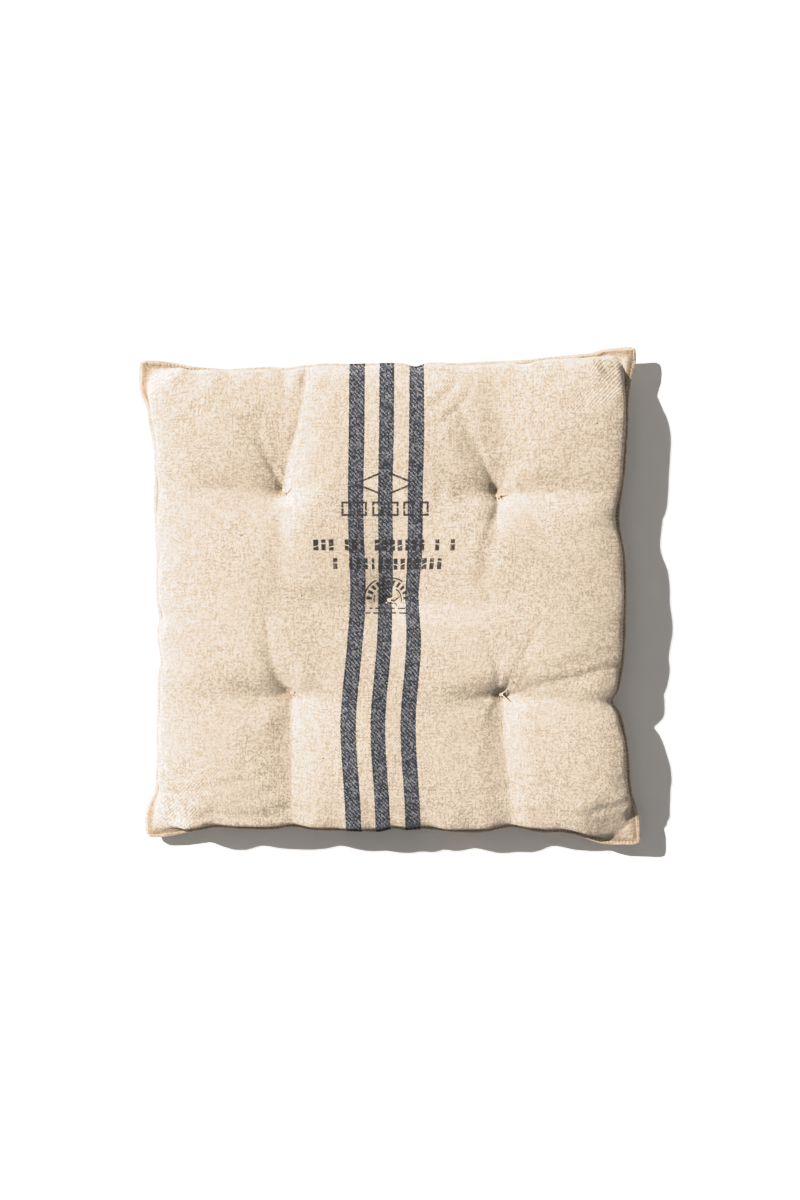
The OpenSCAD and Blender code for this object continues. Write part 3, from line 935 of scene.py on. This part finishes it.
def stencil_marks(n, x, y):
    """Plain stencil shapes in worn ink: a broken lozenge, cut blocks, two rows of bars and a fan."""
    px, py = (n.add(part, n.even(n.noise(n.vec(x, y, seed), 0.9, 3, 0.7), 0.9))
              for part, seed in ((x, 3), (y, 17)))

    def row(start, pitch, count, middle, half, seed, blank, thin, wide, line=0):
        """Bars of uneven width, solid or outlined, each cut by a slanting bridge of bare cloth."""
        place = n.mul(n.sub(px, start), 1 / pitch)
        cell = n.do("FLOOR", place)
        local = n.even(n.sub(place, cell), pitch)
        first, second = n.chance(n.vec(cell, seed)), n.chance(n.vec(cell, seed + 7.3))
        beside = n.sub(n.off(local), n.ramp(first, 0, 1, thin, wide))
        depth = n.most(beside, n.sub(n.off(py, middle), half))
        bar = n.within(n.sub(n.off(depth, -line), line) if line else depth, 0.6)
        lean = n.mul(local, n.ramp(first, 0, 1, -0.7, 0.7))
        level = n.add(n.ramp(second, 0, 1, -0.45 * half, 0.45 * half), middle)
        bar = n.mul(bar, n.within(n.sub(0.5, n.off(n.sub(py, lean), level)), 0.5))
        bar = n.mul(bar, n.band(px, start + pitch * count / 2, pitch * count / 2, 0.2))
        return n.mul(bar, n.do("GREATER_THAN", second, blank))

    lozenge = n.add(n.mul(n.off(px, -3), 1 / 27), n.mul(n.off(py, 106), 1 / 11))
    marks = n.within(n.mul(n.sub(n.off(lozenge, 1), 0.085), 11), 0.8)
    marks = n.mul(marks, n.within(n.sub(3.5, n.off(px, -3)), 0.6))
    marks = n.mul(marks, n.within(n.sub(1.2, n.off(py, 106)), 0.6))
    for layout in ((-45, 14.2, 6, 83, 6.6, 2, -1, 4.2, 5.4, 0.95),
                   (-70, 7, 19, 50, 5, 5, 0.1, 1.3, 2.6),
                   (-53, 7, 15, 33, 5, 9, 0.1, 1.3, 2.6)):
        marks = n.most(marks, row(*layout))
    radius = n.do("SQRT", n.add(n.mul(px, px), n.mul(n.mul(py, py), 1.35)))
    angle = n.do("ARCTAN2", py, px)
    upper = n.within(n.sub(-3, py), 0.6)
    for size, half, count, shift in ((24, 0.75, 5, 0.9), (13.5, 0.6, 4, 0.4)):
        arc = n.band(radius, size, half, 0.6)
        arc = n.mul(arc, n.do("GREATER_THAN", n.do("SINE", n.add(n.mul(angle, count), shift)), -0.85))
        marks = n.most(marks, n.mul(arc, upper))
    rays = n.mul(n.band(radius, 18.8, 2.9, 0.6), n.do("GREATER_THAN", n.do("SINE", n.mul(angle, 21)), 0.05))
    marks = n.most(marks, n.mul(rays, upper))
    for level, half in ((-8.5, 18), (-13, 22)):
        line = n.within(n.most(n.sub(n.off(py, level), 0.7), n.sub(n.off(px), half)), 0.5)
        marks = n.most(marks, n.mul(line, n.do("GREATER_THAN", n.wave(px, 8 - level / 3), -0.7)))
    wear = n.ramp(n.noise(n.vec(x, y, 29), 0.4, 4, 0.7), 0.34, 0.5, 0.65, 1)
    return n.mul(marks, wear)


def twill(name, marks):
    """Cream cotton twill with slubs and seed flecks, three navy stripes and, on top, worn marks."""
    n = Nodes(name)
    flat_x, y = (n.even(part, 2 * CUT) for part in n.places())
    # the warp has slid sideways in places, so the stripes wander
    drift = n.total(n.mul(n.hill(y, -115, 62), 7.2), n.mul(n.hill(y, -235, 90), 2.6),
                    n.mul(n.hill(y, 96, 40), 0.9), 1.6)
    pinch = n.sub(n.ramp(flat_x, 8, 20, 0, 3.6), n.ramp(flat_x, -24, -12, 1.6, 0))
    x = n.total(flat_x, drift, n.mul(pinch, n.hill(y, 5, 36)))
    flat = n.vec(x, y)
    # yarns: warp and weft of uneven thickness, and the diagonal rib they make
    wobble = n.even(n.noise(flat, 0.12, 2), 1.6)
    slub_warp = n.noise(n.vec(n.mul(x, 0.66), n.mul(y, 0.07), 1), 1, 3, 0.7)
    slub_weft = n.noise(n.vec(n.mul(x, 0.07), n.mul(y, 0.66), 5), 1, 3, 0.7)
    rib = n.wave(n.total(x, n.mul(y, -1), wobble), 2.6)
    warp = n.wave(n.add(x, wobble), 1.1)
    weft = n.wave(n.sub(y, wobble), 1.1)
    weave = n.total(n.mul(rib, 0.5), n.mul(n.mul(warp, weft), 0.35))
    grain = n.noise(flat, 0.8, 2, 0.9)
    blotch = n.noise(flat, 0.018, 3, 0.55)
    fuzz = n.noise(flat, 0.3, 3, 0.7)
    end, pick = n.do("FLOOR", n.mul(n.add(x, wobble), 0.8)), n.do("FLOOR", n.mul(y, 0.8))
    crossing = n.chance(n.vec(end, pick, 4))
    slubs = n.add(slub_warp, slub_weft)
    tone = n.total(n.mul(slubs, 2.2), n.mul(grain, 1.6), n.mul(weave, 0.4), n.mul(crossing, 1.25), -3.63)
    colour = n.mix(n.ramp(tone, -0.6, 0.6), CREAM_DARK, CREAM_PALE)
    colour = n.mix(n.ramp(blotch, 0.3, 0.72, 0, 0.4), colour, CREAM)
    colour = n.shade(colour, n.ramp(fuzz, 0.5, 0.8, 0, 0.12), (0.86, 0.82, 0.78, 1))
    # seed flecks and short dark fibres
    away, chance = n.spots(flat, 0.075)
    fleck = n.within(n.sub(away, n.ramp(chance[0], 0.2, 1, -0.01, 0.066)), 0.02)
    away, chance = n.spots(n.vec(x, n.mul(y, 0.45), 9), 0.3)
    fibre = n.mul(n.within(n.sub(away, n.ramp(chance[1], 0.55, 1, -0.03, 0.09)), 0.03), 0.5)
    colour = n.mix(n.mul(n.most(fleck, fibre), 0.85), colour, SEED_BROWN)
    # stripes: navy warp crossed by cream weft, closer and darker at their edges
    ragged = n.even(n.noise(n.vec(n.mul(x, 0.4), n.mul(y, 1.1), 2), 1, 2), 1.6)
    inside = border = 0
    for at, half in STRIPES:
        d = n.sub(n.off(x, at), half)
        inside = n.most(inside, n.within(n.add(d, ragged), 0.5))
        border = n.most(border, n.within(n.off(d, -1), 2.4))
    over = n.do("LESS_THAN", n.do("FLOORED_MODULO", n.add(end, pick), 3), 0.5)
    patch = n.noise(flat, 0.16, 2, 0.6)
    show = n.total(n.mul(over, 0.8), n.even(crossing, 1.2), n.even(patch, 1.6), n.mul(border, -0.5), -0.08)
    navy = n.mix(n.ramp(grain, 0.35, 0.65), NAVY, NAVY_SOFT)
    stripe = n.mix(n.ramp(show, -0.1, 1, 0, 0.9), navy, n.shade(colour, 1, (0.53, 0.61, 0.77, 1)))
    colour = n.mix(inside, colour, stripe)
    if marks:
        ink = n.mul(stencil_marks(n, x, y), n.ramp(grain, 0.28, 0.46, 0.85, 1))
        colour = n.mix(ink, colour, INK)
    # painted shade along the rim where the edge is turned over
    edge = n.most(n.off(flat_x), n.off(y))
    colour = n.shade(colour, n.ramp(edge, CUT - 1.4, CUT - 0.3, 0, 0.5), (0.97, 0.90, 0.84, 1))
    # painted shade in the groove of the stitch line, partly real dirt along the stitching
    line = n.band(edge, CUT - 3.3, 0.6, 0.6)
    colour = n.shade(colour, n.mul(line, 0.4), (0.70, 0.60, 0.50, 1))
    # painted shade in the fold beside the stitching, and painted shade on the right and front flange away
    # from the corners, where the wall shades it
    painted_shade = n.mul(n.ramp(edge, CUT - 13, CUT - 5, 0, 0.8), n.within(n.sub(edge, CUT - 3.6), 0.8))
    nearer = n.do("MINIMUM", n.off(flat_x), n.off(y))
    # painted shade on the right and front flange, fading towards the corners
    flange_shade = n.mul(n.ramp(n.sub(flat_x, y), -30, 30), n.ramp(nearer, 165, 205, 0.85, 0.1))
    flange_shade = n.mul(flange_shade, n.mul(n.within(n.sub(CUT - 4.2, edge), 0.8), n.within(n.sub(edge, CUT - 1.2), 0.6)))
    painted_shade = n.most(painted_shade, flange_shade)
    colour = n.shade(colour, painted_shade, (0.60, 0.49, 0.38, 1))
    # painted shade in the dimples of the ties
    for at, _ in TIES.values():
        dimple_shade = n.mul(n.hill(flat_x, at[0] - 1.5, 5.5), n.hill(y, at[1] + 1, 5))
        colour = n.shade(colour, n.mul(dimple_shade, 0.75), (0.80, 0.63, 0.48, 1))
    # and painted shade, with a little soil, where the cloth is gathered at the hand tacks
    for start in TACKS:
        beside = n.mul(n.hill(flat_x, start + 1.6, 3.2), n.hill(y, CUT - 4.6, 2.4))
        colour = n.shade(colour, n.mul(beside, n.ramp(n.noise(flat, 0.7, 2), 0.3, 0.6, 0.35, 1)),
                         (0.42, 0.29, 0.19, 1))
    rough = n.ramp(n.add(grain, n.mul(inside, -0.1)), 0.2, 0.8, 0.82, 0.97)
    height = n.total(*(n.mul(part, size) for part, size in (
        (weave, 0.2), (grain, 0.7), (slubs, 0.8), (fuzz, 0.15), (crossing, 0.5))))
    return n.finish(colour, rough, height, 0.0013, sheen=0.2)


def spun(name, colour, dark, twist, depth):
    """Twisted thread: a helix round the tube, fibres and a soft halo."""
    n = Nodes(name)
    turn, length = n.places()
    helix = n.wave(n.add(n.mul(turn, twist), n.mul(length, 10)), twist)
    place = n.node("ShaderNodeTexCoord").outputs["Object"]
    fibre = n.noise(place, 2600, 3, 0.7)
    patch = n.noise(place, 160, 2)
    tone = n.total(n.mul(helix, 0.22), fibre, n.mul(patch, 0.4))
    shown = n.mix(n.ramp(tone, 0.35, 1.05), dark, colour)
    height = n.add(n.mul(helix, 0.6), n.mul(fibre, 0.5))
    return n.finish(shown, n.ramp(fibre, 0.2, 0.8, 0.75, 0.95), height, depth, sheen=0.35)


def fleece(name):
    """Carded cotton wadding: cloudy, with stray fibres."""
    n = Nodes(name)
    place = n.node("ShaderNodeTexCoord").outputs["Object"]
    cloud = n.noise(place, 60, 4, 0.6)
    bent = n.noise(place, 420, 4, 0.5, 2.5)
    fine = n.noise(place, 1500, 2, 0.7)
    tone = n.total(n.mul(cloud, 0.7), n.mul(bent, 0.6), n.mul(fine, 0.3))
    colour = n.mix(n.ramp(tone, 0.5, 1.1), (0.68, 0.61, 0.5, 1), FLEECE)
    height = n.total(cloud, bent, n.mul(fine, 0.5))
    return n.finish(colour, n.ramp(fine, 0.2, 0.8, 0.9, 1), height, 0.0012, sheen=0.4)


def floor_paint():
    n = Nodes("floor_paint")
    place = n.node("ShaderNodeTexCoord").outputs["Object"]
    tone = n.noise(place, 3, 4, 0.55)
    colour = n.mix(tone, (0.93, 0.93, 0.93, 1), (0.95, 0.95, 0.95, 1))
    return n.finish(colour, n.ramp(tone, 0.2, 0.8, 0.6, 0.7), n.noise(place, 500, 2), 0.00005, sheen=0)


# ---- scene

def place(piece, material, slot, *nodes):
    piece.data.materials.append(material)
    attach(piece, "root")
    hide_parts(*nodes)
    return piece


def build():
    add_camera()
    add_lights()
    corners = ((-1, -1), (1, -1), (1, 1), (-1, 1))
    points = [(x * FLOOR_HALF / MM, y * FLOOR_HALF / MM, 0) for x, y in corners]
    floor = finish_mesh("floor", points, [(0, 1, 2, 3)])
    floor.data.materials.append(floor_paint())

    skins = make_surfaces()
    thread = spun("spun_thread", THREAD, (0.55, 0.47, 0.34, 1), 1.4, 0.00006)
    cord = spun("soft_cord", CORD, (0.36, 0.27, 0.18, 1), 2.4, 0.00012)
    fluff = fleece("carded_cotton")

    top = closed_sheet("cover_top", skins["top"], skins["top_in"], True, U, V)
    under = closed_sheet("cover_under", skins["under"], skins["under_in"], False, U, V)
    place(top, twill("twill_marked", True), "top_twill", "top_panel")
    place(under, twill("twill_plain", False), "under_twill", "bottom_panel")
    for name, low, high, seed in (("top", 2 / 3, 1, 21), ("middle", 1 / 3, 2 / 3, 22),
                                  ("bottom", 0, 1 / 3, 23)):
        piece = wadding("fleece_" + name, skins, low, high, seed)
        place(piece, fluff, "wadding", name + "_wadding")

    upper = edge_stitching("edge_stitch_upper", skins["top"], skins["up"], 31)
    lower = edge_stitching("edge_stitch_lower", skins["under"], skins["down"], 32)
    seam = seam_in_groove("edge_seam", skins)
    tacks = hand_tacks("hand_tacks", skins)
    for piece, node in ((upper, "needle_thread"), (lower, "bobbin_thread"),
                        (seam, "assembly_seam_thread"), (tacks, "closing_stitches")):
        place(piece, thread, "stitch_thread", node)
    for k, (name, (cut, _)) in enumerate(TIES.items()):
        place(tie("tie_" + name, cut, skins, 41 + k), cord, "tuft_cord", "tuft_tie_" + name)


build()
